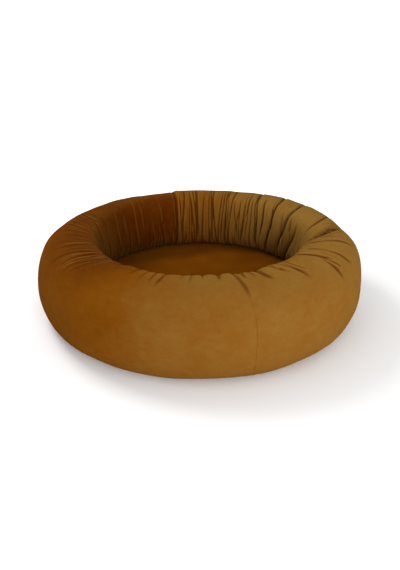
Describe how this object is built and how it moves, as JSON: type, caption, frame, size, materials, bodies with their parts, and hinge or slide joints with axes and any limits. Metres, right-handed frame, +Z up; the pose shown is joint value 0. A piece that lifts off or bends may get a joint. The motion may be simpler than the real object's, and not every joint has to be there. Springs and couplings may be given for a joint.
{
  "type": "pet cushion bed",
  "caption": "Round velvet pet bed: a stuffed ring bolster gathered round a padded floor, in a zip-off cover with a non-slip base.",
  "frame": {"origin": "on the ground, at the centre of the bed", "axes": "+Z up; -Y is the front of the bed; +X runs along the zip in the base, towards its closed end"},
  "size_m": [0.8, 0.8, 0.202],
  "materials": {
    "velvet": "short-pile cotton velvet, mustard ochre, soft sheen at grazing angles",
    "bias_tape": "woven cotton bias tape",
    "non_slip_cloth": "coated woven cloth with raised grip dots",
    "zip_tape": "woven polyester tape",
    "zip_coil": "nylon coil",
    "zip_metal": "satin nickel-plated zinc alloy",
    "calico": "unbleached plain-weave calico",
    "fibre": "loose hollow polyester fibre"
  },
  "bodies": {
    "bed": {"cover_panel_left": "velvet", "cover_panel_right": "velvet", "floor_panel": "velvet", "gather_binding": "bias_tape", "base_panel_front": "non_slip_cloth", "base_panel_rear": "non_slip_cloth", "zip_tape_front": "zip_tape", "zip_tape_rear": "zip_tape", "zip_coil_front": "zip_coil", "zip_coil_rear": "zip_coil", "zip_stop_closed_end": "zip_metal", "zip_stop_open_end": "zip_metal", "ring_liner_top": "calico", "ring_liner_bottom": "calico", "ring_fill": "fibre", "floor_liner_top": "calico", "floor_liner_bottom": "calico", "floor_fill": "fibre"},
    "slider": {"zip_slider": "zip_metal"},
    "pull": {"zip_pull": "zip_metal"}
  },
  "joints": [
    {"name": "zip_travel", "type": "slide", "parent": "bed", "child": "slider", "axis": [-1, 0, 0], "range_m": [0, 0.467]},
    {"name": "pull_swing", "type": "hinge", "parent": "slider", "child": "pull", "pos_m": [0.2335, 0, 0.0047], "axis": [0, -1, 0], "range_deg": [0, 175]}
  ]
}
